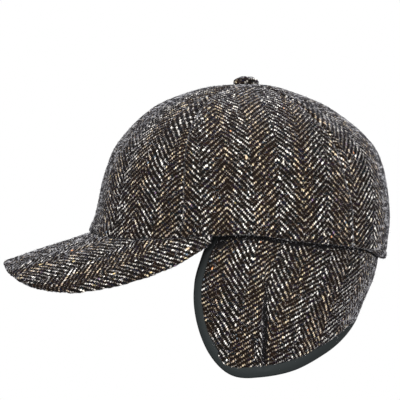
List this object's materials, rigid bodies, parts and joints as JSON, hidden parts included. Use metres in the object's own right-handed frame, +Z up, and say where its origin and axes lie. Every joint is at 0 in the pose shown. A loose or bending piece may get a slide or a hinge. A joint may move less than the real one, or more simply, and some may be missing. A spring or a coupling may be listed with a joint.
{
  "type": "baseball cap with earflaps",
  "caption": "Tweed baseball cap with a curved peak, a covered top button and a bound earflap that hangs below the hem from ear to ear round the nape.",
  "frame": {"origin": "middle of the head opening at the height of the hem", "axes": "-X towards the peak, -Y towards the wearer's left side, +Z up towards the button"},
  "size_m": [0.2734, 0.1718, 0.211],
  "materials": {
    "tweed": "woollen herringbone tweed, black-brown ground with off-white, tan and a few coloured yarns, slightly fuzzy",
    "binding": "smooth dark slate tape, fine weave, matt"
  },
  "bodies": {
    "root": {"crown_front_left": "tweed", "crown_front_right": "tweed", "crown_side_left": "tweed", "crown_side_right": "tweed", "crown_back_left": "tweed", "crown_back_right": "tweed", "top_button": "tweed", "peak": "tweed", "earflap": "tweed", "flap_binding": "binding"}
  },
  "joints": []
}
